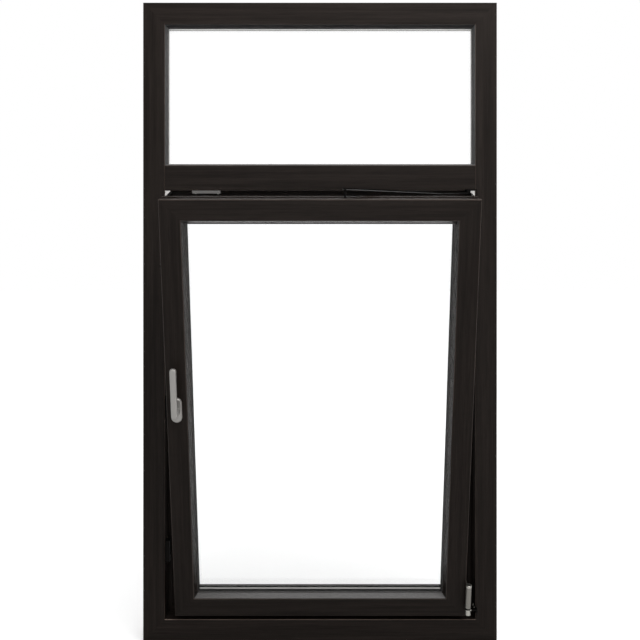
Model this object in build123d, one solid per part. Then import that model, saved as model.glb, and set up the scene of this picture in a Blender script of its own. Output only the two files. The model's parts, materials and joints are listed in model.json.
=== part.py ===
"""Tilt and turn window with a fixed toplight: frame, tilted sash, double glazing and fittings.

Millimetres. X runs to the right as seen from the room, Y to the outside, Z up.
The origin is the middle of the frame's underside, halfway through its depth.
"""
import os
from math import asin, atan2, cos, degrees, hypot, radians, sin

from build123d import *

# Overall size of the window and of its frame profile
WIDTH = 1000.0
HEIGHT = 1805.0
FRAME_DEPTH = 80.0
FRAME_FACE = 61.0
FRAME_LEG = 3.0
FRAME_LEG_DEPTH = 26.0
TRANSOM_BASE = 1274.0
TRANSOM_FACE = 71.5
EDGE_ROUND = 3.0
LEG_SLOPE = 4.5
LEG_LAND = 4.0

# Gaps between the closed sash and the frame, and the sash profile
SIDE_GAP = 31.0
FOOT_GAP = 10.0
TOP_GAP = 18.0
SASH_DEPTH = 64.0
SASH_FACE = 55.0
SASH_PROUD = 16.0
SASH_LEG = 8.0
SASH_LEG_DEPTH = 10.0
GROOVE_WIDTH = 16.0
GROOVE_DEPTH = 18.0

# Stop profile behind the sash and its seal
STOP_REACH = 38.0
STOP_GAP = 11.5
STOP_DEPTH = 20.0
STOP_FOOT = 8.0
SEAL_WIDTH = 7.0
SEAL_CLEARANCE = 6.0

# Double glazing, gaskets and glazing beads
PANE = 4.0
PANE_GAP = 14.0
PANE_EDGE = 1.0
GASKET = 3.0
GASKET_SHOW = 0.6
GASKET_WIDTH = 3.5
SPACER_WIDTH = 4.0
BEAD_RECESS = 1.5
TOPLIGHT_BEAD = 5.0
SASH_BEAD = 11.0
BEAD_LAND = 0.8
BEAD_SLOPE_DEPTH = 14.0
BEAD_LEDGE = 0.6
BEAD_NOSE = 2.0

# Tilt and the two hinge points
TILT = 11.4
AXIS_FRONT = 13.0
AXIS_SIDE = 4.5
BARREL_RADIUS = 8.0
LOWER_BARREL_BASE = 89.0
LOWER_BARREL_TOP = 102.5
LOWER_BARREL_NECK = 6.5
TILT_AXIS_HEIGHT = 107.5
UPPER_BARREL_BASE = 109.0
UPPER_BARREL_TOP = 179.0
CROSS_RADIUS = 4.5
CROSS_LENGTH = 14.0
PIN_RADIUS = 3.0
PIN_FIT = 0.06
PIN_FLOOR = 3.0
LEAF = 3.0
LEAF_ARM = 4.0
FRAME_LEAF_REACH = 56.0
SASH_LEAF_REACH = 32.0
BARREL_CAP = 4.0
BARREL_CHAMFER = 1.5

# Stay arm above the sash and its bearing
ARM_LENGTH = 390.0
ARM_WIDTH = 16.0
ARM_THICKNESS = 3.0
ARM_CRANK = 60.0
SLIDER_RADIUS = 3.0
SLIDER_DIP = 1.0
TOP_BOSS_GAP = 3.0
TOP_BOSS_HEIGHT = 6.0
TOP_LEAF_DROP = 24.0
TOP_LEAF_HEIGHT = 26.0

# Locking rail in the left stile and the strikers on the frame
RAIL_THICKNESS = 2.5
RAIL_FIT = 0.2
RAIL_END_INSET = 90.0
CAM_RADIUS = 5.0
CAM_HEIGHT = 8.0
CAM_COUNT = 3
STRIKER_LENGTH = 60.0
STRIKER_WIDTH = 22.0
STRIKER_THICKNESS = 12.0
STRIKER_NOTCH = 12.0
TILT_STRIKER_LENGTH = 80.0
TILT_STRIKER_HEIGHT = 8.0
TILT_STRIKER_INSET = 77.0
CORNER_LEG = 22.0
CORNER_ARM = 14.0
CORNER_THICKNESS = 2.5
CORNER_FRONT = 2.0
CORNER_WIDTH = 32.0

# Drain slots on the outside of the sill
DRAIN_COUNT = 2
DRAIN_LENGTH = 32.0
DRAIN_HEIGHT = 6.0
DRAIN_DEPTH = 6.0
DRAIN_RISE = 20.0
DRAIN_END_INSET = 160.0

# Handle
HANDLE_HEIGHT = 621.0
HANDLE_INSET = 27.5
ROSE_LENGTH = 68.0
ROSE_WIDTH = 28.0
ROSE_THICKNESS = 9.0
ROSE_CHAMFER = 2.0
HANDLE_BORE = 7.0
NECK_BASE_RADIUS = 11.0
NECK_RADIUS = 7.5
LEVER_LENGTH = 127.0
LEVER_HEEL = 9.0
LEVER_WIDTH = 16.0
LEVER_THICKNESS = 11.0
LEVER_PROUD = 42.0
LEVER_CORNER = 6.0
LEVER_ROUND = 3.0
LEVER_CHAMFER = 1.0
RUNNING_GAP = 0.3

# Places worked out from the sizes above
ROOM_FACE = -FRAME_DEPTH / 2
OUTER_FACE = FRAME_DEPTH / 2
LEG_FRONT = OUTER_FACE - FRAME_LEG_DEPTH
CLEAR_WIDTH = WIDTH - 2 * FRAME_FACE
TRANSOM_TOP = TRANSOM_BASE + TRANSOM_FACE
TOPLIGHT_HEIGHT = HEIGHT - FRAME_FACE - TRANSOM_TOP
SASH_OPENING = TRANSOM_BASE - FRAME_FACE
SASH_WIDTH = CLEAR_WIDTH - 2 * SIDE_GAP
SASH_HEIGHT = SASH_OPENING - FOOT_GAP - TOP_GAP
SASH_BASE = FRAME_FACE + FOOT_GAP
SASH_TOP = SASH_BASE + SASH_HEIGHT
SASH_ROOM = ROOM_FACE - SASH_PROUD
SASH_OUTER = SASH_ROOM + SASH_DEPTH
SASH_LEG_FRONT = SASH_OUTER - SASH_LEG_DEPTH
SASH_EDGE = SASH_WIDTH / 2
STOP_FRONT = SASH_OUTER + STOP_GAP
UNIT = 2 * PANE + PANE_GAP
GROOVE_MIDDLE = (SASH_ROOM + SASH_OUTER) / 2
AXIS_X = SASH_EDGE + AXIS_SIDE
AXIS_Y = SASH_ROOM - AXIS_FRONT
HANDLE_X = HANDLE_INSET - SASH_EDGE
HANDLE_Z = SASH_BASE + HANDLE_HEIGHT
ARM_BASE = SASH_TOP + (TOP_GAP - ARM_THICKNESS) / 2

parts = {}


def polygon(points):
    """Closed flat face through the given corners, drawn on the XY plane."""
    return make_face(Polyline(*points, close=True))


def rounded(face, corners, radius):
    """Face with the listed corners rounded."""
    chosen = [v for v in face.vertices() if any(hypot(v.X - x, v.Y - y) < 0.01 for x, y in corners)]
    return fillet(chosen, radius)


def mitred(section, length, reach):
    """Section run along Z for a length, its ends mitred back by its reach from the outer edge."""
    bar = extrude(section, amount=length)
    outline = Plane.XZ * polygon([(0, 0), (reach, reach), (reach, length - reach), (0, length)])
    return bar & extrude(outline, amount=FRAME_DEPTH, both=True)


def ring(section, width, height, reach, base):
    """Four mitred members round a rectangle whose lower edge is at the height of base."""
    upright = mitred(section, height, reach)
    level = mitred(section, width, reach)
    return {
        "left": Pos(-width / 2, 0, base) * upright,
        "right": Pos(width / 2, 0, base + height) * Rot(0, 180, 0) * upright,
        "bottom": Pos(width / 2, 0, base) * Rot(0, -90, 0) * level,
        "top": Pos(-width / 2, 0, base + height) * Rot(0, 90, 0) * level,
    }


def strip(inner, outer, front, back):
    """Plain rectangular section from one depth to another."""
    return polygon([(inner, front), (outer, front), (outer, back), (inner, back)])


def box(x_low, x_high, y_low, y_high, z_low, z_high):
    """Block between two corners."""
    size = (x_high - x_low, y_high - y_low, z_high - z_low)
    middle = ((x_low + x_high) / 2, (y_low + y_high) / 2, (z_low + z_high) / 2)
    return Pos(*middle) * Box(*size)


def upright_pin(x, y, radius, low, high):
    """Cylinder standing on end between two heights."""
    return Pos(x, y, (low + high) / 2) * Cylinder(radius, high - low)


def tilted(solid):
    """Solid of the closed sash, swung to the tilted position about the cross pivot."""
    pivot = Pos(0, AXIS_Y, TILT_AXIS_HEIGHT)
    return pivot * Rot(TILT, 0, 0) * pivot.inverse() * solid


# Frame: four mitred members and the transom between the jambs
def frame_section():
    """Frame profile: a face towards the room, a rebate wall and a short outer leg."""
    leg_edge = FRAME_FACE + FRAME_LEG
    face = polygon([
        (0, ROOM_FACE),
        (FRAME_FACE, ROOM_FACE),
        (FRAME_FACE, LEG_FRONT),
        (leg_edge, LEG_FRONT),
        (leg_edge, LEG_FRONT + LEG_LAND),
        (leg_edge - LEG_SLOPE, OUTER_FACE),
        (0, OUTER_FACE),
    ])
    return rounded(face, [(FRAME_FACE, ROOM_FACE)], EDGE_ROUND)


def transom_section():
    """Transom profile with a rebate above and below, drawn with its height along X."""
    face = polygon([
        (0, ROOM_FACE),
        (TRANSOM_FACE, ROOM_FACE),
        (TRANSOM_FACE, LEG_FRONT),
        (TRANSOM_FACE + FRAME_LEG, LEG_FRONT),
        (TRANSOM_FACE + FRAME_LEG, LEG_FRONT + LEG_LAND),
        (TRANSOM_FACE + FRAME_LEG - LEG_SLOPE, OUTER_FACE),
        (LEG_SLOPE - FRAME_LEG, OUTER_FACE),
        (-FRAME_LEG, LEG_FRONT + LEG_LAND),
        (-FRAME_LEG, LEG_FRONT),
        (0, LEG_FRONT),
    ])
    return rounded(face, [(0, ROOM_FACE), (TRANSOM_FACE, ROOM_FACE)], EDGE_ROUND)


def make_frame():
    """Jambs, head, sill and transom."""
    members = ring(frame_section(), WIDTH, HEIGHT, FRAME_FACE + FRAME_LEG, 0)
    bar = Pos(CLEAR_WIDTH / 2, 0, TRANSOM_BASE) * Rot(0, -90, 0) * extrude(transom_section(), CLEAR_WIDTH)
    parts["frame_left_jamb"] = members["left"]
    parts["frame_right_jamb"] = members["right"]
    parts["frame_head"] = members["top"]
    slot_run = WIDTH - 2 * DRAIN_END_INSET
    sill = members["bottom"]
    for number in range(DRAIN_COUNT):
        x = slot_run * (number / (DRAIN_COUNT - 1) - 0.5)
        mouth = Plane(origin=(x, OUTER_FACE, DRAIN_RISE), x_dir=(1, 0, 0), z_dir=(0, -1, 0))
        sill -= extrude(mouth * SlotOverall(DRAIN_LENGTH, DRAIN_HEIGHT), DRAIN_DEPTH)
    parts["frame_sill"] = sill
    parts["frame_transom"] = bar - members["left"] - members["right"]


# Glazing: beads, gaskets, panes and spacer inside a rebate
def bead_section(room, back, reach):
    """Glazing bead: a land by the face, a slope, a ledge and a rounded nose towards the glass."""
    front = room + BEAD_RECESS
    ledge = front + BEAD_SLOPE_DEPTH
    nose_start = reach - BEAD_NOSE
    slope_end = nose_start - BEAD_LEDGE
    outline = [
        Polyline((reach, ledge + BEAD_NOSE), (reach, back), (0, back), (0, front), (BEAD_LAND, front)),
        Polyline((BEAD_LAND, front), (slope_end, ledge), (nose_start, ledge)),
        RadiusArc((nose_start, ledge), (reach, ledge + BEAD_NOSE), -BEAD_NOSE),
    ]
    return make_face(outline)


def make_glazing(name, width, height, base, room, leg_front, bead_reach, leg, place):
    """Double glazing of a rebate, from its room face to its outer leg, behind beads of a given reach."""
    outer_back = leg_front
    glass_back = outer_back - GASKET
    glass_front = glass_back - UNIT
    bead_back = glass_front - GASKET
    beads = ring(bead_section(room, bead_back, bead_reach), width, height, bead_reach, base)
    for side, bead in beads.items():
        parts[f"{name}_bead_{side}"] = place(bead)
    middle = base + height / 2
    pane_width = width - 2 * PANE_EDGE
    pane_height = height - 2 * PANE_EDGE
    inner = Pos(0, glass_front + PANE / 2, middle) * Box(pane_width, PANE, pane_height)
    outer = Pos(0, glass_back - PANE / 2, middle) * Box(pane_width, PANE, pane_height)
    parts[f"{name}_inner_pane"] = place(inner)
    parts[f"{name}_outer_pane"] = place(outer)
    spacer = ring(
        strip(PANE_EDGE, PANE_EDGE + SPACER_WIDTH, glass_front + PANE, glass_back - PANE),
        width, height, PANE_EDGE + SPACER_WIDTH, base)
    parts[f"{name}_spacer"] = Compound(children=[place(bar) for bar in spacer.values()])
    rows = (("inner", bead_reach, bead_back, glass_front), ("outer", leg, glass_back, outer_back))
    for side, reach, front, back in rows:
        lip = reach + GASKET_SHOW
        gasket = ring(strip(lip - GASKET_WIDTH, lip, front, back), width, height, lip, base)
        parts[f"{name}_{side}_gasket"] = Compound(children=[place(bar) for bar in gasket.values()])


def make_toplight():
    """Fixed glazing between the transom and the head."""
    make_glazing("toplight", CLEAR_WIDTH, TOPLIGHT_HEIGHT, TRANSOM_TOP, ROOM_FACE, LEG_FRONT,
                 TOPLIGHT_BEAD, FRAME_LEG, lambda solid: solid)


# Stop: the profile that the closed sash meets, with its seal
def stop_section():
    """Stop profile: a foot on the frame's outer leg and a flange behind the sash, sloped outside."""
    edge = FRAME_LEG + STOP_REACH
    flange_back = STOP_FRONT + STOP_DEPTH
    return polygon([
        (FRAME_LEG, LEG_FRONT),
        (FRAME_LEG + STOP_FOOT, LEG_FRONT),
        (FRAME_LEG + STOP_FOOT, STOP_FRONT),
        (edge, STOP_FRONT),
        (edge, STOP_FRONT + LEG_LAND),
        (edge - LEG_SLOPE, flange_back),
        (FRAME_LEG, flange_back),
    ])


def make_stop():
    """Stop members round the sash opening and the seal on them."""
    reach = FRAME_LEG + STOP_REACH
    for side, member in ring(stop_section(), CLEAR_WIDTH, SASH_OPENING, reach, FRAME_FACE).items():
        parts[f"stop_{side}"] = member
    seal = strip(reach - SEAL_WIDTH, reach, SASH_OUTER + SEAL_CLEARANCE, STOP_FRONT)
    pieces = ring(seal, CLEAR_WIDTH, SASH_OPENING, reach, FRAME_FACE)
    parts["stop_seal"] = Compound(children=list(pieces.values()))


# Sash: four mitred members with a fittings groove round the edge
def sash_section():
    """Sash profile: room face, glazing rebate with an outer leg, and a groove in the edge."""
    leg_edge = SASH_FACE + SASH_LEG
    low = GROOVE_MIDDLE - GROOVE_WIDTH / 2
    high = GROOVE_MIDDLE + GROOVE_WIDTH / 2
    face = polygon([
        (0, SASH_ROOM),
        (SASH_FACE, SASH_ROOM),
        (SASH_FACE, SASH_LEG_FRONT),
        (leg_edge, SASH_LEG_FRONT),
        (leg_edge, SASH_LEG_FRONT + LEG_LAND),
        (leg_edge - LEG_SLOPE, SASH_OUTER),
        (0, SASH_OUTER),
        (0, high),
        (GROOVE_DEPTH, high),
        (GROOVE_DEPTH, low),
        (0, low),
    ])
    return rounded(face, [(0, SASH_ROOM), (SASH_FACE, SASH_ROOM)], EDGE_ROUND)


def make_sash():
    """Stiles, rails and glazing of the sash, in the tilted position."""
    members = ring(sash_section(), SASH_WIDTH, SASH_HEIGHT, SASH_FACE + SASH_LEG, SASH_BASE)
    parts["sash_left_stile"] = tilted(members["left"])
    parts["sash_right_stile"] = tilted(members["right"])
    parts["sash_top_rail"] = tilted(members["top"])
    parts["sash_bottom_rail"] = tilted(members["bottom"])
    make_glazing("sash", SASH_WIDTH - 2 * SASH_FACE, SASH_HEIGHT - 2 * SASH_FACE, SASH_BASE + SASH_FACE,
                 SASH_ROOM, SASH_LEG_FRONT, SASH_BEAD, SASH_LEG, tilted)


# Hinges: a cross pivot at the foot and a stay arm at the top, both on the turning axis
def frame_leaf(low, high, arm_top):
    """Leaf on the jamb between two heights, with a strap up to an arm across to the turning axis."""
    wall = CLEAR_WIDTH / 2
    plate = box(wall - LEAF, wall, AXIS_Y, AXIS_Y + FRAME_LEAF_REACH, low, high)
    strap = box(wall - LEAF, wall, AXIS_Y, AXIS_Y + LEAF, low, arm_top)
    return plate + strap + box(AXIS_X, wall, AXIS_Y, AXIS_Y + LEAF, arm_top - LEAF_ARM, arm_top)


def make_bottom_hinge():
    """Frame bearing, cross pivot and the sash's barrel at the lower right corner."""
    middle = Pos(AXIS_X, AXIS_Y, TILT_AXIS_HEIGHT) * Rot(0, 90, 0)
    shaft_base = LOWER_BARREL_BASE + PIN_FLOOR
    barrel = Pos(AXIS_X, AXIS_Y, (LOWER_BARREL_BASE + LOWER_BARREL_TOP) / 2)
    barrel = barrel * Cone(BARREL_RADIUS, LOWER_BARREL_NECK, LOWER_BARREL_TOP - LOWER_BARREL_BASE)
    leaf = frame_leaf(LOWER_BARREL_BASE, LOWER_BARREL_TOP, LOWER_BARREL_TOP)
    bore = upright_pin(AXIS_X, AXIS_Y, PIN_RADIUS + PIN_FIT, shaft_base, LOWER_BARREL_TOP)
    parts["bottom_bearing"] = barrel + leaf - bore
    shaft = upright_pin(AXIS_X, AXIS_Y, PIN_RADIUS, shaft_base, TILT_AXIS_HEIGHT)
    parts["bottom_pivot"] = shaft + middle * Cylinder(CROSS_RADIUS, CROSS_LENGTH)
    upper = upright_pin(AXIS_X, AXIS_Y, BARREL_RADIUS, UPPER_BARREL_BASE, UPPER_BARREL_TOP)
    upper = chamfer(upper.edges().sort_by(Axis.Z)[-1], BARREL_CHAMFER)
    sash_leaf = box(SASH_EDGE, SASH_EDGE + LEAF, AXIS_Y, AXIS_Y + SASH_LEAF_REACH,
                    UPPER_BARREL_BASE, UPPER_BARREL_TOP - BARREL_CAP)
    saddle = middle * Cylinder(CROSS_RADIUS + PIN_FIT, SIDE_GAP + BARREL_RADIUS)
    parts["sash_hinge_barrel"] = tilted(upper + sash_leaf - saddle)


def arm_angle():
    """Swing of the stay arm that brings its slider over the tilted sash's groove."""
    groove_back = GROOVE_MIDDLE - AXIS_Y
    groove_rise = SASH_TOP - GROOVE_DEPTH / 2 - TILT_AXIS_HEIGHT
    tilt = radians(TILT)
    out = groove_rise * sin(tilt) - groove_back * cos(tilt)
    return degrees(asin(out / hypot(ARM_LENGTH, groove_back)) + atan2(groove_back, ARM_LENGTH))


def slider_foot():
    """Height of the slider's end, just inside the groove of the tilted sash."""
    tilt = radians(TILT)
    top_edge = (GROOVE_MIDDLE - AXIS_Y) * sin(tilt) + (SASH_TOP - TILT_AXIS_HEIGHT) * cos(tilt)
    return TILT_AXIS_HEIGHT + top_edge - SLIDER_DIP


def make_stay():
    """Top bearing on the frame, its pin, and the arm that holds the sash's head."""
    arm_top = ARM_BASE + ARM_THICKNESS
    boss_base = arm_top + TOP_BOSS_GAP
    boss_top = boss_base + TOP_BOSS_HEIGHT
    boss = upright_pin(AXIS_X, AXIS_Y, BARREL_RADIUS, boss_base, boss_top)
    leaf_top = boss_top - TOP_LEAF_DROP
    leaf = frame_leaf(leaf_top - TOP_LEAF_HEIGHT, leaf_top, boss_top)
    bore = upright_pin(AXIS_X, AXIS_Y, PIN_RADIUS + PIN_FIT, boss_base, boss_top)
    parts["top_bearing"] = boss + leaf - bore
    pin = upright_pin(AXIS_X, AXIS_Y, PIN_RADIUS, ARM_BASE, boss_top)
    collar = upright_pin(AXIS_X, AXIS_Y, ARM_WIDTH / 2, arm_top + RUNNING_GAP, boss_base - RUNNING_GAP)
    parts["top_pin"] = pin + collar
    back = GROOVE_MIDDLE - AXIS_Y
    path = Polyline((0, 0), (-ARM_CRANK, back), (-ARM_LENGTH, back))
    flat = trace(path, ARM_WIDTH) + Circle(ARM_WIDTH / 2) + Pos(-ARM_LENGTH, back) * Circle(ARM_WIDTH / 2)
    arm = extrude(flat - Circle(PIN_RADIUS + PIN_FIT), ARM_THICKNESS)
    slider = upright_pin(-ARM_LENGTH, back, SLIDER_RADIUS, slider_foot() - ARM_BASE, ARM_THICKNESS / 2)
    parts["stay_arm"] = Pos(AXIS_X, AXIS_Y, ARM_BASE) * Rot(0, 0, arm_angle()) * (arm + slider)


# Locking fittings
def make_locking():
    """Rail with cams in the left stile, strikers on the jamb and one under the transom."""
    half = GROOVE_WIDTH / 2 - RAIL_FIT
    rail = box(-SASH_EDGE, -SASH_EDGE + RAIL_THICKNESS, GROOVE_MIDDLE - half, GROOVE_MIDDLE + half,
               SASH_BASE + RAIL_END_INSET, SASH_TOP - RAIL_END_INSET)
    run = SASH_HEIGHT - 4 * RAIL_END_INSET
    strikers = []
    wall = -CLEAR_WIDTH / 2
    plate = box(wall, wall + STRIKER_THICKNESS, GROOVE_MIDDLE - STRIKER_WIDTH / 2,
                GROOVE_MIDDLE + STRIKER_WIDTH / 2, -STRIKER_LENGTH / 2, STRIKER_LENGTH / 2)
    notch = Pos(wall + STRIKER_THICKNESS, GROOVE_MIDDLE, STRIKER_LENGTH / 4)
    notch = notch * Box(STRIKER_THICKNESS, STRIKER_NOTCH, STRIKER_LENGTH)
    for number in range(CAM_COUNT):
        height = SASH_BASE + 2 * RAIL_END_INSET + run * number / (CAM_COUNT - 1)
        cam = Rot(0, 90, 0) * Cylinder(CAM_RADIUS, CAM_HEIGHT)
        rail += Pos(-SASH_EDGE - CAM_HEIGHT / 2, GROOVE_MIDDLE, height) * cam
        strikers.append(Pos(0, 0, height) * (plate - notch))
    parts["lock_rail"] = tilted(rail)
    parts["jamb_strikers"] = Compound(children=strikers)
    left = -CLEAR_WIDTH / 2 + TILT_STRIKER_INSET
    parts["tilt_striker"] = box(left, left + TILT_STRIKER_LENGTH, ROOM_FACE + EDGE_ROUND,
                                ROOM_FACE + EDGE_ROUND + STRIKER_WIDTH,
                                TRANSOM_BASE - TILT_STRIKER_HEIGHT, TRANSOM_BASE)


def make_corner_angles():
    """Bright angle with a slanted web in each top corner of the sash rebate."""
    wall = CLEAR_WIDTH / 2
    angle = polygon([
        (wall, TRANSOM_BASE),
        (wall, TRANSOM_BASE - CORNER_LEG),
        (wall - CORNER_THICKNESS, TRANSOM_BASE - CORNER_LEG),
        (wall - CORNER_THICKNESS, TRANSOM_BASE - CORNER_ARM),
        (wall - CORNER_ARM, TRANSOM_BASE - CORNER_THICKNESS),
        (wall - CORNER_ARM, TRANSOM_BASE),
    ])
    front = Plane(origin=(0, ROOM_FACE + EDGE_ROUND + CORNER_FRONT, 0), x_dir=(1, 0, 0), z_dir=(0, -1, 0))
    right = extrude(front * angle, -CORNER_WIDTH)
    parts["rebate_corners"] = Compound(children=[right, mirror(right, about=Plane.YZ)])


# Handle on the left stile, pointing up
def make_handle():
    """Oval rose, and a flat lever carried in front of it on a tapered neck."""
    seat = Plane(origin=(HANDLE_X, SASH_ROOM, HANDLE_Z), x_dir=(0, 0, 1), z_dir=(0, -1, 0))
    rose = extrude(SlotOverall(ROSE_LENGTH, ROSE_WIDTH), ROSE_THICKNESS)
    rose = chamfer(rose.faces().sort_by(Axis.Z)[-1].edges(), ROSE_CHAMFER)
    rose -= Cylinder(HANDLE_BORE + PIN_FIT, ROSE_THICKNESS * 3)
    parts["handle_rose"] = tilted(seat * rose)
    neck_base = ROSE_THICKNESS + RUNNING_GAP
    lever_back = LEVER_PROUD - LEVER_THICKNESS
    outline = RectangleRounded(LEVER_LENGTH + LEVER_HEEL, LEVER_WIDTH, LEVER_CORNER)
    middle = (LEVER_LENGTH - LEVER_HEEL) / 2
    lever = Pos(middle, 0, lever_back) * extrude(outline, LEVER_THICKNESS)
    lever = fillet(lever.faces().sort_by(Axis.Z)[-1].edges(), LEVER_ROUND)
    lever = chamfer(lever.faces().sort_by(Axis.Z)[0].edges(), LEVER_CHAMFER)
    neck = Cone(NECK_BASE_RADIUS, NECK_RADIUS, lever_back - neck_base)
    neck = Pos(0, 0, (neck_base + lever_back) / 2) * neck
    stub = Pos(0, 0, (RUNNING_GAP + neck_base) / 2) * Cylinder(HANDLE_BORE, neck_base - RUNNING_GAP)
    parts["handle_lever"] = tilted(seat * (lever + neck + stub))


make_frame()
make_toplight()
make_stop()
make_sash()
make_bottom_hinge()
make_stay()
make_locking()
make_corner_angles()
make_handle()

os.makedirs("parts", exist_ok=True)
for name, solid in parts.items():
    solid.label = name
    export_step(solid, f"parts/{name}.step")
print("stay arm swing", round(arm_angle(), 3), "degrees;", len(parts), "nodes")
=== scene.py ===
"""Looks of the tilt and turn window: foil, glass, rubber and metal, screws, caps, stage and camera."""
import json
from math import atan2, cos, pi, radians, sin

import bmesh
import bpy
from bpy.props import FloatProperty, FloatVectorProperty, IntProperty, PointerProperty
from bpy.types import Operator, Panel, PropertyGroup
from mathutils import Matrix, Vector


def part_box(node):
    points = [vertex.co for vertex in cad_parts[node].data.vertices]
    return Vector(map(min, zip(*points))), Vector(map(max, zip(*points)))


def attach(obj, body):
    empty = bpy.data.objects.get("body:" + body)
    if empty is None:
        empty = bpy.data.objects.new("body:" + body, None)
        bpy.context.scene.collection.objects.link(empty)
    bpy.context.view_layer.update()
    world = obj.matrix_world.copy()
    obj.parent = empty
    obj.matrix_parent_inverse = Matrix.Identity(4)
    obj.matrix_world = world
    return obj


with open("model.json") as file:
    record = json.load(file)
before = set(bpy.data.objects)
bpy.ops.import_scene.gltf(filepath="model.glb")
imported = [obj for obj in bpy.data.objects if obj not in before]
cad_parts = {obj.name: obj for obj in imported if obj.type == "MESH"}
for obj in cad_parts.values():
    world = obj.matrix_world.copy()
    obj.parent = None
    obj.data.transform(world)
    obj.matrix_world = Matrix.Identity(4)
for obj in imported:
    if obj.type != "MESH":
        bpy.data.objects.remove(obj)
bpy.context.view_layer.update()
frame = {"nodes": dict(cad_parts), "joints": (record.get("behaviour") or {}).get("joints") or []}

bl_info = {
    "name": "Tilt and turn window looks",
    "version": (1, 0, 0),
    "blender": (4, 5, 0),
    "location": "View3D > Sidebar > Window",
    "description": "Finishes, screws and stage for a dark foiled window with a tilted sash",
    "category": "3D View",
}

JOINTS = {joint["name"]: joint for joint in frame["joints"]}
TILT = -radians(JOINTS["sash_tilt"]["range_deg"][0])
HINGE = Vector(JOINTS["sash_tilt"]["pos_m"])
UPRIGHT = (0.0, 0.0, 0.0)
LEVEL = (0.0, pi / 2, 0.0)
LEANING = (-TILT, 0.0, 0.0)
FOILED_ENDS = {
    "upright": ("_jamb", "_stile", "_left", "_right"),
    "level": ("_head", "_sill", "_transom", "_rail", "_top", "_bottom"),
}
TO_LEFT = (-1.0, 0.0, 0.0)
TO_RIGHT = (1.0, 0.0, 0.0)
DOWN = (0.0, 0.0, -1.0)
LEAF = 0.003
STRIKER_LENGTH = 0.060
STRIKER_COUNT = 3
CAM_HEIGHT = 0.008
RAIL_INSET = 0.030
RAIL_SCREWS = 6
CAP_STEPS = 32
FLOOR_DROP = 0.0005
FLOOR_TONES = ((0.42, 0.42, 0.42), (0.44, 0.44, 0.44))
GLOW_REACH = (0.4, 2.8)
TOP_LAMP = {"place": (0.3, -0.9, 3.3), "target": (0.3, -0.89, 0.0), "size": 2.6}
KEY_LAMP = {"place": (1.8, -1.9, 3.2), "target": (0.0, 0.0, 1.2), "size": 1.4}
FILL_LAMP = {"place": (0.2, -3.2, 1.75), "target": (0.2, 0.0, 1.75), "size": 3.2}
BACK_LAMP = {"place": (0.6, 2.6, 2.2), "target": (0.0, 0.0, 1.0), "size": 2.4}


class WindowFoil(PropertyGroup):
    """Wood-grain foil on the profiles."""
    dark_tone: FloatVectorProperty(
        name="Dark tone", description="Colour in the dark streaks", subtype="COLOR",
        default=(0.0058, 0.0043, 0.0035))
    light_tone: FloatVectorProperty(
        name="Light tone", description="Colour in the light streaks", subtype="COLOR",
        default=(0.0146, 0.0112, 0.0095))
    streak_width: FloatProperty(
        name="Streak width", description="Width of a broad streak of the grain", unit="LENGTH", default=0.009)
    fibre_width: FloatProperty(
        name="Fibre width", description="Width of a fine fibre of the grain", unit="LENGTH", default=0.0016)
    stretch: FloatProperty(
        name="Stretch", description="Length of a streak over its width", default=42.0)
    emboss: FloatProperty(
        name="Emboss", description="Depth of the embossed pores", unit="LENGTH", default=0.00012)
    # Painted highlight: this lightens the foil's colour on the rounded edges, standing for the light that
    # they catch.
    edge_highlight_lift: FloatProperty(
        name="Edge lift", description="How much lighter the foil is where it is stretched over an edge",
        default=4.0)
    # Painted highlight: a stronger lightening of the colour on the sill's rounded edges, for the light line
    # along the sill.
    sill_highlight_lift: FloatProperty(
        name="Sill lift", description="How much lighter the foil is over the edges of the sill", default=13.0)
    lip_tone: FloatVectorProperty(
        name="Lip tone", description="Colour of the beads' soft lip, next to the glass", subtype="COLOR",
        default=(0.0040, 0.0038, 0.0036))
    gloss: FloatProperty(
        name="Gloss", description="Strength of the reflection on the members", subtype="FACTOR", default=0.05)
    bead_gloss: FloatProperty(
        name="Bead gloss", description="Strength of the reflection on the smoother beads of the sash",
        subtype="FACTOR", default=0.36)
    toplight_gloss: FloatProperty(
        name="Toplight gloss", description="Strength of the reflection on the narrow beads of the toplight",
        subtype="FACTOR", default=1.0)
    head_bead_gloss: FloatProperty(
        name="Head bead gloss", description="Strength of the reflection on the bead under the head",
        subtype="FACTOR", default=0.30)


class WindowGlazing(PropertyGroup):
    """Panes, spacer bars and rubber."""
    tint: FloatVectorProperty(
        name="Tint", description="Colour of clear glass", subtype="COLOR", default=(0.996, 0.999, 0.998))
    rubber_tone: FloatVectorProperty(
        name="Rubber tone", description="Colour of gaskets and seals", subtype="COLOR",
        default=(0.0065, 0.0063, 0.0062))
    spacer_tone: FloatVectorProperty(
        name="Spacer tone", description="Colour of the spacer between the panes", subtype="COLOR",
        default=(0.60, 0.59, 0.57))
    rib: FloatProperty(
        name="Rib", description="Pitch of the fine ribs on the spacer", unit="LENGTH", default=0.0024)


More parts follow.
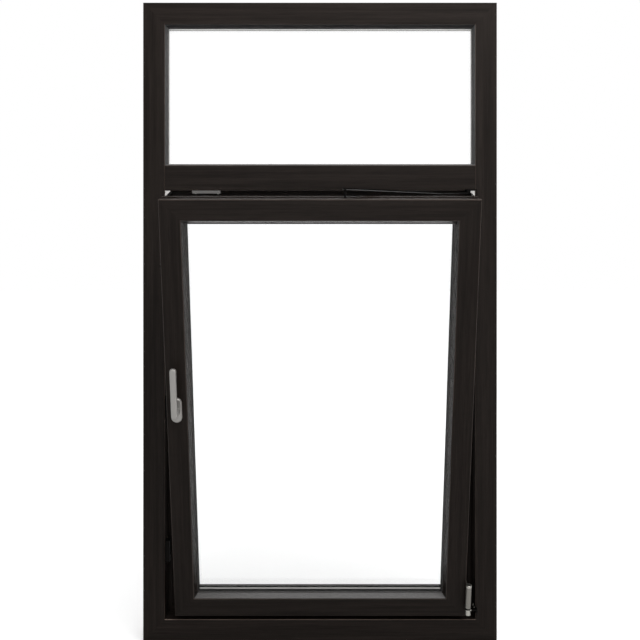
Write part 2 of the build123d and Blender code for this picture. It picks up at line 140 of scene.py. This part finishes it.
class WindowMetal(PropertyGroup):
    """Handle, hinges, stay and strikers."""
    handle_tone: FloatVectorProperty(
        name="Handle tone", description="Satin grey lacquer of the handle", subtype="COLOR",
        default=(0.236, 0.227, 0.216))
    handle_metal: FloatProperty(
        name="Handle metal", description="Share of bare metal in the lacquer's look", subtype="FACTOR",
        default=0.5)
    cover_tone: FloatVectorProperty(
        name="Cover tone", description="Grey of the hinge barrel", subtype="COLOR",
        default=(0.165, 0.158, 0.143))
    bearing_tone: FloatVectorProperty(
        name="Bearing tone", description="Brighter silver of the lower bearing and the caps", subtype="COLOR",
        default=(0.300, 0.292, 0.266))
    dark_tone: FloatVectorProperty(
        name="Dark tone", description="Dark coating of the stay arm, rail and jamb strikers", subtype="COLOR",
        default=(0.0055, 0.0052, 0.0049))
    barrel_reach: FloatProperty(
        name="Barrel reach", description="From the turning axis to where the dark leaf starts", unit="LENGTH",
        default=0.0095)
    steel_tone: FloatVectorProperty(
        name="Steel tone", description="Coated steel of the striker under the transom", subtype="COLOR",
        default=(0.100, 0.097, 0.094))
    # Painted highlight: besides being zinc, the corner angles' bright tone stands for the light that falls
    # into the top rebate corners.
    corner_highlight_tone: FloatVectorProperty(
        name="Corner tone", description="Bright zinc of the corner angles", subtype="COLOR",
        default=(0.40, 0.39, 0.38))


class WindowFasteners(PropertyGroup):
    """Screw heads and barrel caps."""
    head_radius: FloatProperty(
        name="Head radius", description="Radius of a screw head", unit="LENGTH", default=0.0038)
    head_height: FloatProperty(
        name="Head height", description="Height of a screw head", unit="LENGTH", default=0.0012)
    socket_radius: FloatProperty(
        name="Socket radius", description="Radius of the star socket", unit="LENGTH", default=0.0019)
    points: IntProperty(
        name="Points", description="Points of the star socket", default=6)
    notch: FloatProperty(
        name="Notch", description="Depth of the star's notches over its radius", subtype="FACTOR",
        default=0.30)
    edge_inset: FloatProperty(
        name="Edge inset", description="From the end of a plate to its first screw", unit="LENGTH",
        default=0.008)
    cap_wall: FloatProperty(
        name="Cap wall", description="How far a barrel cap stands out round its barrel", unit="LENGTH",
        default=0.0004)
    cap_height: FloatProperty(
        name="Cap height", description="Height of a barrel cap", unit="LENGTH", default=0.0065)


class WindowStage(PropertyGroup):
    """Camera, lamps and floor."""
    camera_distance: FloatProperty(
        name="Camera distance", description="From the lens to the middle of the frame", unit="LENGTH",
        default=2.240)
    eye_height: FloatProperty(
        name="Eye height", description="Height of the lens over the floor", unit="LENGTH", default=1.134)
    lens: FloatProperty(
        name="Lens", description="Focal length in millimetres", default=43.76)
    rise: FloatProperty(
        name="Rise", description="Upward shift of the lens over the picture's width", default=-0.125)
    ambient: FloatProperty(
        name="Ambient", description="Level of the even light from all round", default=0.12)
    top_power: FloatProperty(
        name="Top power", description="Power of the large lamp overhead", unit="POWER", default=130.0)
    key_power: FloatProperty(
        name="Key power", description="Power of the large lamp at the upper right", unit="POWER",
        default=42.0)
    fill_power: FloatProperty(
        name="Fill power", description="Power of the broad lamp behind the camera", unit="POWER",
        default=60.0)
    back_power: FloatProperty(
        name="Back power", description="Power of the soft lamp on the outside", unit="POWER", default=45.0)
    near_glow: FloatProperty(
        name="Near glow", description="White added to the floor at the object, as the camera sees it",
        subtype="FACTOR", default=0.56)
    far_glow: FloatProperty(
        name="Far glow", description="White added to the floor where the lamps no longer reach",
        subtype="FACTOR", default=0.98)
    floor_size: FloatProperty(
        name="Floor size", description="Side of the floor", unit="LENGTH", default=30.0)


# Small tools for node trees
def new_material(name):
    """Material with its shader, ready for more nodes."""
    material = bpy.data.materials.new(name)
    material.use_nodes = True
    return material, material.node_tree, material.node_tree.nodes["Principled BSDF"]


def add_node(tree, kind, **values):
    """Node of a kind, with its sockets set by name; underscores in the names stand for spaces."""
    node = tree.nodes.new(kind)
    for name, value in values.items():
        node.inputs[name.replace("_", " ")].default_value = value
    return node


def place_on_piece(tree, turn, scale=(1.0, 1.0, 1.0)):
    """Object coordinates, turned so that Z runs along the piece, then scaled."""
    spot = add_node(tree, "ShaderNodeTexCoord")
    turned = add_node(tree, "ShaderNodeMapping", Rotation=turn)
    scaled = add_node(tree, "ShaderNodeMapping", Scale=scale)
    tree.links.new(spot.outputs["Object"], turned.inputs["Vector"])
    tree.links.new(turned.outputs["Vector"], scaled.inputs["Vector"])
    return scaled.outputs["Vector"]


def add_noise(tree, vector, scale, detail=2.0, roughness=0.5):
    """Value of a noise texture on the given coordinates."""
    noise = add_node(tree, "ShaderNodeTexNoise", Scale=scale, Detail=detail, Roughness=roughness)
    tree.links.new(vector, noise.inputs["Vector"])
    return noise.outputs[0]


def remap(tree, value, low, high, new_low, new_high):
    """Value brought from one range to another, held at its ends."""
    node = add_node(tree, "ShaderNodeMapRange", From_Min=low, From_Max=high, To_Min=new_low, To_Max=new_high)
    tree.links.new(value, node.inputs["Value"])
    return node.outputs["Result"]


def combine(tree, operation, first, second):
    """Two values, or a value and a number, put together by a sum, a product or a like operation."""
    node = tree.nodes.new("ShaderNodeMath")
    node.operation = operation
    for socket, item in zip(node.inputs, (first, second)):
        if isinstance(item, (int, float)):
            socket.default_value = item
        else:
            tree.links.new(item, socket)
    return node.outputs["Value"]


def weigh(tree, first, second, share):
    """Mean of two values, with a share of the first."""
    kept = combine(tree, "MULTIPLY", first, share)
    return combine(tree, "ADD", kept, combine(tree, "MULTIPLY", second, 1.0 - share))


def blend_tones(tree, amount, first, second):
    """Colour between two tones."""
    ramp = tree.nodes.new("ShaderNodeValToRGB")
    ramp.color_ramp.elements[0].color = (*first, 1.0)
    ramp.color_ramp.elements[1].color = (*second, 1.0)
    tree.links.new(amount, ramp.inputs["Fac"])
    return ramp.outputs["Color"]


def add_bump(tree, shader, height, depth, strength=1.0):
    """Relief of a given depth on the shader's normal."""
    bump = add_node(tree, "ShaderNodeBump", Strength=strength, Distance=depth)
    tree.links.new(height, bump.inputs["Height"])
    tree.links.new(bump.outputs["Normal"], shader.inputs["Normal"])


def coat(node_name, material):
    """Material on a CAD node."""
    slots = frame["nodes"][node_name].data.materials
    slots.clear()
    slots.append(material)


def nodes_like(*words):
    """CAD nodes whose names end with one of the words."""
    return sorted(name for name in frame["nodes"] if name.endswith(words))


def blend_colours(tree, amount, first, second):
    """Colour between two colours, each a tone or the output of a node."""
    mix = tree.nodes.new("ShaderNodeMix")
    mix.data_type = "RGBA"
    tree.links.new(amount, mix.inputs["Factor"])
    for socket, colour in ((mix.inputs[6], first), (mix.inputs[7], second)):
        if isinstance(colour, bpy.types.NodeSocket):
            tree.links.new(colour, socket)
        else:
            socket.default_value = (*colour, 1.0)
    return mix.outputs[2]


def faces_along(tree, direction):
    """Square of the cosine between a surface and a direction: 1 where it faces along or against it."""
    spot = add_node(tree, "ShaderNodeTexCoord")
    product = tree.nodes.new("ShaderNodeVectorMath")
    product.operation = "DOT_PRODUCT"
    product.inputs[1].default_value = direction
    tree.links.new(spot.outputs["Normal"], product.inputs[0])
    return combine(tree, "MULTIPLY", product.outputs["Value"], product.outputs["Value"])


# Finishes
def wood_grain(tree, look, turn):
    """Amount of light grain and the fine fibres, both running along the member."""
    along = place_on_piece(tree, turn, (1.0, 1.0, 1.0 / look.stretch))
    streaks = add_noise(tree, along, 1.0 / look.streak_width, detail=3.0, roughness=0.55)
    fibres = add_noise(tree, along, 1.0 / look.fibre_width, detail=4.0, roughness=0.65)
    pores = remap(tree, fibres, 0.30, 0.46, 0.0, 1.0)
    grain = remap(tree, weigh(tree, streaks, fibres, 0.65), 0.34, 0.66, 0.0, 1.0)
    return combine(tree, "MULTIPLY", grain, pores), fibres


def member_finish(name, look, turn, lean, lift):
    """Dark wood-grain foil, with a painted highlight: its colour is made lighter on the rounded edges."""
    material, tree, shader = new_material(name)
    amount, fibres = wood_grain(tree, look, turn)
    out = faces_along(tree, (0.0, cos(lean), sin(lean)))
    up = faces_along(tree, (0.0, -sin(lean), cos(lean)))
    flat = combine(tree, "MAXIMUM", combine(tree, "MAXIMUM", out, up), faces_along(tree, (1.0, 0.0, 0.0)))
    # Painted highlight mask: 1 on the rounded edges, where the colour is lightened to stand for the light
    # that they catch.
    edge = remap(tree, flat, 0.60, 0.95, 1.0, 0.0)
    plain = blend_tones(tree, amount, look.dark_tone, look.light_tone)
    highlight_tones = [[lift * channel for channel in tone] for tone in (look.dark_tone, look.light_tone)]
    highlit = blend_tones(tree, amount, *highlight_tones)
    tree.links.new(blend_colours(tree, edge, plain, highlit), shader.inputs["Base Color"])
    tree.links.new(remap(tree, fibres, 0.3, 0.7, 0.46, 0.36), shader.inputs["Roughness"])
    shader.inputs["Specular IOR Level"].default_value = look.gloss
    add_bump(tree, shader, fibres, look.emboss, 0.5)
    return material


def bead_finish(name, look, turn, lean, gloss):
    """Smoother foil on a bead, with a dull soft lip on the side next to the glass."""
    material, tree, shader = new_material(name)
    amount, fibres = wood_grain(tree, look, turn)
    lip = remap(tree, faces_along(tree, (0.0, cos(lean), sin(lean))), 0.04, 0.12, 1.0, 0.0)
    foil = blend_tones(tree, amount, look.dark_tone, look.light_tone)
    tree.links.new(blend_colours(tree, lip, foil, look.lip_tone), shader.inputs["Base Color"])
    satin = remap(tree, fibres, 0.3, 0.7, 0.32, 0.22)
    dull = combine(tree, "MULTIPLY", lip, 0.75)
    tree.links.new(combine(tree, "MAXIMUM", satin, dull), shader.inputs["Roughness"])
    shader.inputs["Specular IOR Level"].default_value = gloss
    add_bump(tree, shader, fibres, look.emboss, 0.3)
    return material


def glass_finish(name, look):
    """Clear float glass with the faintest waviness of its tint."""
    material, tree, shader = new_material(name)
    wave = add_noise(tree, place_on_piece(tree, UPRIGHT), 3.0)
    tree.links.new(blend_tones(tree, wave, look.tint, (1.0, 1.0, 1.0)), shader.inputs["Base Color"])
    shader.inputs["Roughness"].default_value = 0.0
    shader.inputs["IOR"].default_value = 1.45
    shader.inputs["Specular IOR Level"].default_value = 0.2
    shader.inputs["Transmission Weight"].default_value = 1.0
    return material


def rubber_finish(name, look):
    """Black rubber, dull, with a fine moulded skin."""
    material, tree, shader = new_material(name)
    skin = add_noise(tree, place_on_piece(tree, UPRIGHT), 900.0, detail=3.0)
    lighter = tuple(2.2 * channel for channel in look.rubber_tone)
    tree.links.new(blend_tones(tree, skin, look.rubber_tone, lighter), shader.inputs["Base Color"])
    tree.links.new(remap(tree, skin, 0.3, 0.7, 0.55, 0.72), shader.inputs["Roughness"])
    shader.inputs["Specular IOR Level"].default_value = 0.3
    add_bump(tree, shader, skin, 0.0001, 0.4)
    return material


def spacer_finish(name, look):
    """Aluminium spacer with fine ribs across it."""
    material, tree, shader = new_material(name)
    spot = place_on_piece(tree, UPRIGHT)
    ribs = add_node(tree, "ShaderNodeTexWave", Scale=pi / (10.0 * look.rib), Distortion=0.0)
    ribs.bands_direction = "DIAGONAL"
    tree.links.new(spot, ribs.inputs["Vector"])
    lighter = tuple(1.08 * channel for channel in look.spacer_tone)
    ribbed = blend_tones(tree, ribs.outputs["Fac"], look.spacer_tone, lighter)
    tree.links.new(ribbed, shader.inputs["Base Color"])
    tree.links.new(remap(tree, add_noise(tree, spot, 400.0), 0.3, 0.7, 0.4, 0.55), shader.inputs["Roughness"])
    shader.inputs["Metallic"].default_value = 1.0
    add_bump(tree, shader, ribs.outputs["Fac"], 0.0001, 0.15)
    return material


def metal_finish(name, tone, turn, roughness, brush=0.15, metal=1.0):
    """Satin metal, lightly brushed along the piece and a little uneven in tone."""
    material, tree, shader = new_material(name)
    brushed = add_noise(tree, place_on_piece(tree, turn, (1.0, 1.0, 0.03)), 2600.0, detail=3.0)
    cloudy = add_noise(tree, place_on_piece(tree, turn), 60.0, detail=3.0)
    uneven = weigh(tree, brushed, cloudy, 0.5)
    darker = tuple((1.0 - brush) * channel for channel in tone)
    lighter = tuple(min(1.0, (1.0 + brush) * channel) for channel in tone)
    tree.links.new(blend_tones(tree, uneven, darker, lighter), shader.inputs["Base Color"])
    satin = remap(tree, uneven, 0.3, 0.7, roughness - 0.05, roughness + 0.05)
    tree.links.new(satin, shader.inputs["Roughness"])
    shader.inputs["Metallic"].default_value = metal
    add_bump(tree, shader, brushed, 0.00003, 0.3)
    return material


def bearing_finish(name, look):
    """Silver on the bearing's barrel, dark coating on the leaf beside it."""
    material = metal_finish(name, look.bearing_tone, UPRIGHT, 0.34)
    tree = material.node_tree
    colour = tree.nodes["Principled BSDF"].inputs["Base Color"]
    silver = colour.links[0].from_socket
    split = add_node(tree, "ShaderNodeSeparateXYZ")
    tree.links.new(place_on_piece(tree, UPRIGHT), split.inputs["Vector"])
    edge = HINGE.x + look.barrel_reach
    leaf = remap(tree, split.outputs["X"], edge, edge + 0.0005, 0.0, 1.0)
    tree.links.new(blend_colours(tree, leaf, silver, look.dark_tone), colour)
    return material


# Small turned pieces
def turned_shape(bm, outline, steps):
    """Vertices of a closed shape spun from an outline of radius and height pairs."""
    older = set(bm.verts)
    points = [bm.verts.new((radius, 0.0, height)) for radius, height in outline]
    edges = [bm.edges.new(pair) for pair in zip(points, points[1:])]
    bmesh.ops.spin(bm, geom=points + edges, cent=(0, 0, 0), axis=(0, 0, 1), angle=2 * pi, steps=steps,
                   use_merge=True)
    rims = [edge for edge in bm.edges if edge.is_boundary]
    bmesh.ops.holes_fill(bm, edges=rims, sides=steps)
    return [vert for vert in bm.verts if vert not in older]


def finish_piece(name, bm, body, material):
    """Mesh object from a bmesh, facing outwards, riding on a body."""
    bmesh.ops.recalc_face_normals(bm, faces=bm.faces[:])
    mesh = bpy.data.meshes.new(name)
    bm.to_mesh(mesh)
    bm.free()
    mesh.materials.append(material)
    piece = bpy.data.objects.new(name, mesh)
    bpy.context.scene.collection.objects.link(piece)
    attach(piece, body)
    return piece


def facing(point, direction):
    """Place at a point with Z along a direction."""
    turn = Vector(direction).to_track_quat("Z", "Y").to_matrix().to_4x4()
    return Matrix.Translation(point) @ turn


def leaned():
    """Move of the closed sash to its tilted rest place."""
    return Matrix.Translation(HINGE) @ Matrix.Rotation(TILT, 4, "X") @ Matrix.Translation(-HINGE)


def closed_corners(node_name):
    """Vertices of a piece on the sash, with the sash closed."""
    back = leaned().inverted()
    return [back @ vert.co for vert in frame["nodes"][node_name].data.vertices]


def evenly(start, end, count):
    """Values at even steps from start to end."""
    return [start + (end - start) * number / (count - 1) for number in range(count)]


def add_screws(name, body, places, material):
    """Round screw heads, each with a star socket, at the given places."""
    look = bpy.context.scene.window_fasteners
    bm = bmesh.new()
    outline = [
        (look.socket_radius, look.head_height * 0.2),
        (look.socket_radius, look.head_height),
        (look.head_radius * 0.70, look.head_height),
        (look.head_radius * 0.92, look.head_height * 0.65),
        (look.head_radius, look.head_height * 0.15),
        (look.head_radius, -look.head_height * 0.3),
    ]
    for place in places:
        head = turned_shape(bm, outline, 4 * look.points)
        for vert in head:
            if vert.co.xy.length < look.socket_radius * 1.01:
                wave = 0.5 - 0.5 * cos(look.points * atan2(vert.co.y, vert.co.x))
                vert.co.xy *= 1.0 - look.notch * wave
        bmesh.ops.transform(bm, matrix=place, verts=head)
    return finish_piece(name, bm, body, material)


def bearing_screws(node_name, inset):
    """Places of the two screws in the leaf of a bearing: side by side below, one over the other above."""
    low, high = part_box(node_name)
    wall = high.x - LEAF
    if node_name == "bottom_bearing":
        middle = (low.z + high.z) / 2
        return [facing((wall, high.y - inset * step, middle), TO_LEFT) for step in (1, 3)]
    return [facing((wall, high.y - inset, low.z + inset * step), TO_LEFT) for step in (0.7, 2.3)]


def striker_screws(inset):
    """Places of the screws in the striker under the transom."""
    low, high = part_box("tilt_striker")
    middle = (low.y + high.y) / 2
    return [facing((x, middle, low.z), DOWN) for x in (low.x + inset, high.x - inset)]


def jamb_screws(inset):
    """Places of the screws in the stepped strikers on the left jamb."""
    low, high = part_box("jamb_strikers")
    middle = (low.y + high.y) / 2
    rows = ((inset, high.x), (STRIKER_LENGTH - inset, (low.x + high.x) / 2))
    feet = evenly(low.z, high.z - STRIKER_LENGTH, STRIKER_COUNT)
    return [facing((x, middle, foot + rise), TO_RIGHT) for foot in feet for rise, x in rows]


def rail_screws():
    """Places of the screws along the locking rail, between its cams."""
    corners = closed_corners("lock_rail")
    face = min(corner.x for corner in corners) + CAM_HEIGHT
    middle = sum(corner.y for corner in corners) / len(corners)
    low, high = min(corner.z for corner in corners), max(corner.z for corner in corners)
    heights = evenly(low + RAIL_INSET, high - RAIL_INSET, RAIL_SCREWS)
    return [leaned() @ facing((face, middle, height), TO_LEFT) for height in heights]


def leaf_screws(inset):
    """Places of the screws in the hinge leaf on the sash."""
    corners = closed_corners("sash_hinge_barrel")
    back = max(corner.y for corner in corners) - inset
    low, high = min(corner.z for corner in corners), max(corner.z for corner in corners)
    edge = max(corner.x for corner in corners if corner.y > back)
    return [leaned() @ facing((edge, back, height), TO_RIGHT) for height in (low + inset, high - inset)]


# Operators
class WINDOW_OT_foil(Operator):
    """Put the wood-grain foil on frame, beads, stop and sash, with the grain along each member"""
    bl_idname = "window_looks.foil"
    bl_label = "Foil the profiles"

    def execute(self, context):
        look = context.scene.window_foil
        for place, lean in (("frame", 0.0), ("sash", TILT)):
            ways = {"upright": (-lean, 0.0, 0.0), "level": LEVEL}
            gloss = look.bead_gloss if place == "sash" else look.toplight_gloss
            for way, turn in ways.items():
                member = member_finish(f"{place}_foil_{way}", look, turn, lean, look.edge_highlight_lift)
                bead = bead_finish(f"{place}_bead_foil_{way}", look, turn, lean, gloss)
                for name in nodes_like(*FOILED_ENDS[way]):
                    if name == "lock_rail" or name.startswith("sash_") != (place == "sash"):
                        continue
                    coat(name, bead if "_bead_" in name else member)
        # The sill gets the stronger painted highlight on its rounded edges.
        coat("frame_sill", member_finish("sill_foil", look, LEVEL, 0.0, look.sill_highlight_lift))
        coat("toplight_bead_top", bead_finish("head_bead_foil", look, LEVEL, 0.0, look.head_bead_gloss))
        return {"FINISHED"}


class WINDOW_OT_glazing(Operator):
    """Put glass, rubber and spacer finishes on the two glazed units and on the seal"""
    bl_idname = "window_looks.glazing"
    bl_label = "Glaze the window"

    def execute(self, context):
        look = context.scene.window_glazing
        glass = glass_finish("clear_glass", look)
        rubber = rubber_finish("black_rubber", look)
        spacer = spacer_finish("silver_spacer", look)
        for name in nodes_like("_pane"):
            coat(name, glass)
        for name in nodes_like("_gasket", "_seal"):
            coat(name, rubber)
        for name in nodes_like("_spacer"):
            coat(name, spacer)
        return {"FINISHED"}


class WINDOW_OT_fittings(Operator):
    """Put metal on the hinges, stay, locking rail and strikers"""
    bl_idname = "window_looks.fittings"
    bl_label = "Finish the fittings"

    def execute(self, context):
        look = context.scene.window_metal
        dark = metal_finish("dark_coated_steel", look.dark_tone, LEANING, 0.55, brush=0.22)
        for name in ("bottom_pivot", "top_bearing", "top_pin", "stay_arm", "lock_rail", "jamb_strikers"):
            coat(name, dark)
        coat("sash_hinge_barrel", metal_finish("hinge_cover_silver", look.cover_tone, LEANING, 0.42))
        coat("bottom_bearing", bearing_finish("bearing_silver", look))
        coat("tilt_striker", metal_finish("coated_steel", look.steel_tone, LEVEL, 0.36, brush=0.22))
        # Zinc corner angles whose bright tone is also a painted highlight of the light in the top rebate
        # corners.
        coat("rebate_corners", metal_finish("highlight_zinc", look.corner_highlight_tone, UPRIGHT, 0.36, brush=0.22))
        return {"FINISHED"}


class WINDOW_OT_handle(Operator):
    """Put the satin grey lacquer on the handle's rose and lever"""
    bl_idname = "window_looks.handle"
    bl_label = "Finish the handle"

    def execute(self, context):
        look = context.scene.window_metal
        satin = metal_finish(
            "satin_grey", look.handle_tone, LEANING, 0.36, brush=0.08, metal=look.handle_metal)
        for name in nodes_like("_rose", "_lever"):
            coat(name, satin)
        return {"FINISHED"}


class WINDOW_OT_screws(Operator):
    """Add the screws that hold the bearings, the strikers, the locking rail and the hinge leaf"""
    bl_idname = "window_looks.screws"
    bl_label = "Add screws"

    def execute(self, context):
        inset = context.scene.window_fasteners.edge_inset
        metal = context.scene.window_metal
        silver = metal_finish("screw_silver", metal.bearing_tone, UPRIGHT, 0.3)
        dark = metal_finish("screw_dark", metal.dark_tone, UPRIGHT, 0.35)
        bright = bearing_screws("bottom_bearing", inset) + striker_screws(inset)
        add_screws("bright_screws", "frame", bright, silver)
        coated = bearing_screws("top_bearing", inset) + jamb_screws(inset)
        add_screws("frame_screws", "frame", coated, dark)
        add_screws("sash_screws", "sash", rail_screws() + leaf_screws(inset), dark)
        return {"FINISHED"}


class WINDOW_OT_hinge_cap(Operator):
    """Add the bright cap on top of the lower hinge's barrel"""
    bl_idname = "window_looks.hinge_cap"
    bl_label = "Cap the hinge"

    def execute(self, context):
        look = context.scene.window_fasteners
        corners = closed_corners("sash_hinge_barrel")
        top = max(corner.z for corner in corners) + look.cap_wall
        radius = HINGE.x - min(corner.x for corner in corners) + look.cap_wall
        bm = bmesh.new()
        outline = [
            (radius, top - look.cap_height),
            (radius, top - 3 * look.cap_wall),
            (radius - 1.5 * look.cap_wall, top - look.cap_wall),
            (radius - 4 * look.cap_wall, top),
        ]
        cap = turned_shape(bm, outline, CAP_STEPS)
        bmesh.ops.transform(bm, matrix=leaned() @ Matrix.Translation((HINGE.x, HINGE.y, 0.0)), verts=cap)
        finish_piece("hinge_cap", bm, "sash", bpy.data.materials["screw_silver"])
        return {"FINISHED"}


def add_lamp(name, power, place, target, size):
    """Large soft area lamp aimed at a point and hidden from the camera, also through glass."""
    lamp = bpy.data.lights.new(name, "AREA")
    lamp.energy = power
    lamp.size = size
    holder = bpy.data.objects.new(name, lamp)
    holder.location = place
    holder.rotation_euler = (Vector(target) - Vector(place)).to_track_quat("-Z", "Y").to_euler()
    holder.visible_camera = False
    holder.visible_transmission = False
    bpy.context.scene.collection.objects.link(holder)
    return holder


def light_world(ambient):
    """Even light all round; the white backdrop shows to the camera, in glass and, from outside, in gloss."""
    world = bpy.data.worlds.new("studio")
    world.use_nodes = True
    tree = world.node_tree
    tree.nodes.clear()
    rays = add_node(tree, "ShaderNodeLightPath")
    spot = add_node(tree, "ShaderNodeTexCoord")
    split = add_node(tree, "ShaderNodeSeparateXYZ")
    tree.links.new(spot.outputs["Generated"], split.inputs["Vector"])
    outside = remap(tree, split.outputs["Y"], -0.25, 0.15, 0.0, 1.0)
    gloss = combine(tree, "MULTIPLY", rays.outputs["Is Glossy Ray"], outside)
    seen = combine(tree, "MAXIMUM", rays.outputs["Is Camera Ray"], rays.outputs["Is Transmission Ray"])
    backdrop = add_node(tree, "ShaderNodeBackground", Color=(1, 1, 1, 1), Strength=1.0)
    around = add_node(tree, "ShaderNodeBackground", Color=(1, 1, 1, 1), Strength=ambient)
    choice = tree.nodes.new("ShaderNodeMixShader")
    tree.links.new(combine(tree, "MAXIMUM", seen, gloss), choice.inputs["Fac"])
    tree.links.new(around.outputs["Background"], choice.inputs[1])
    tree.links.new(backdrop.outputs["Background"], choice.inputs[2])
    output = tree.nodes.new("ShaderNodeOutputWorld")
    tree.links.new(choice.outputs["Shader"], output.inputs["Surface"])
    bpy.context.scene.world = world


def floor_finish(name, near_glow, far_glow):
    """Pale floor that reads white to the camera far out, and near the object takes its shadow."""
    material, tree, shader = new_material(name)
    grain = add_noise(tree, place_on_piece(tree, UPRIGHT), 40.0)
    tree.links.new(blend_tones(tree, grain, *FLOOR_TONES), shader.inputs["Base Color"])
    shader.inputs["Roughness"].default_value = 0.9
    shader.inputs["Specular IOR Level"].default_value = 0.0
    rays = add_node(tree, "ShaderNodeLightPath")
    seen = combine(tree, "MAXIMUM", rays.outputs["Is Camera Ray"], rays.outputs["Is Transmission Ray"])
    seen = combine(tree, "MAXIMUM", seen, rays.outputs["Is Glossy Ray"])
    far = tree.nodes.new("ShaderNodeVectorMath")
    far.operation = "LENGTH"
    tree.links.new(place_on_piece(tree, UPRIGHT), far.inputs[0])
    glow = remap(tree, far.outputs["Value"], *GLOW_REACH, near_glow, far_glow)
    shader.inputs["Emission Color"].default_value = (1.0, 1.0, 1.0, 1.0)
    tree.links.new(combine(tree, "MULTIPLY", seen, glow), shader.inputs["Emission Strength"])
    return material


class WINDOW_OT_stage(Operator):
    """Set the floor, the studio light and the camera"""
    bl_idname = "window_looks.stage"
    bl_label = "Set the stage"

    def execute(self, context):
        look = context.scene.window_stage
        bm = bmesh.new()
        under = Matrix.Translation((0.0, 0.0, -FLOOR_DROP))
        bmesh.ops.create_grid(bm, x_segments=1, y_segments=1, size=look.floor_size / 2, matrix=under)
        mesh = bpy.data.meshes.new("floor")
        bm.to_mesh(mesh)
        bm.free()
        mesh.materials.append(floor_finish("pale_floor", look.near_glow, look.far_glow))
        floor = bpy.data.objects.new("floor", mesh)
        context.scene.collection.objects.link(floor)
        light_world(look.ambient)
        add_lamp("top_lamp", look.top_power, **TOP_LAMP)
        add_lamp("key_lamp", look.key_power, **KEY_LAMP)
        add_lamp("fill_lamp", look.fill_power, **FILL_LAMP)
        back = add_lamp("back_lamp", look.back_power, **BACK_LAMP)
        back.visible_glossy = False
        camera = bpy.data.cameras.new("camera")
        camera.lens = look.lens
        camera.shift_y = look.rise
        holder = bpy.data.objects.new("camera", camera)
        holder.location = (0.0, -look.camera_distance, look.eye_height)
        holder.rotation_euler = (pi / 2, 0.0, 0.0)
        context.scene.collection.objects.link(holder)
        context.scene.camera = holder
        context.scene.view_settings.view_transform = "Standard"
        return {"FINISHED"}


class WINDOW_PT_looks(Panel):
    """Lists the steps of the window's looks."""
    bl_idname = "WINDOW_PT_looks"
    bl_label = "Window looks"
    bl_space_type = "VIEW_3D"
    bl_region_type = "UI"
    bl_category = "Window"

    def draw(self, context):
        for step in STEPS:
            self.layout.operator(step.bl_idname)


GROUPS = {
    "window_foil": WindowFoil,
    "window_glazing": WindowGlazing,
    "window_metal": WindowMetal,
    "window_fasteners": WindowFasteners,
    "window_stage": WindowStage,
}
STEPS = (
    WINDOW_OT_foil,
    WINDOW_OT_glazing,
    WINDOW_OT_fittings,
    WINDOW_OT_handle,
    WINDOW_OT_screws,
    WINDOW_OT_hinge_cap,
    WINDOW_OT_stage,
)


def register():
    """Add the property groups, the operators and the panel."""
    for name, group in GROUPS.items():
        bpy.utils.register_class(group)
        setattr(bpy.types.Scene, name, PointerProperty(type=group))
    for step in STEPS:
        bpy.utils.register_class(step)
    bpy.utils.register_class(WINDOW_PT_looks)


def unregister():
    """Take the panel, the operators and the property groups away again."""
    bpy.utils.unregister_class(WINDOW_PT_looks)
    for step in reversed(STEPS):
        bpy.utils.unregister_class(step)
    for name, group in reversed(GROUPS.items()):
        delattr(bpy.types.Scene, name)
        bpy.utils.unregister_class(group)


def main():
    """Run every step in order."""
    register()
    bpy.ops.window_looks.foil()
    bpy.ops.window_looks.glazing()
    bpy.ops.window_looks.fittings()
    bpy.ops.window_looks.handle()
    bpy.ops.window_looks.screws()
    bpy.ops.window_looks.hinge_cap()
    bpy.ops.window_looks.stage()


if __name__ == "__main__":
    main()
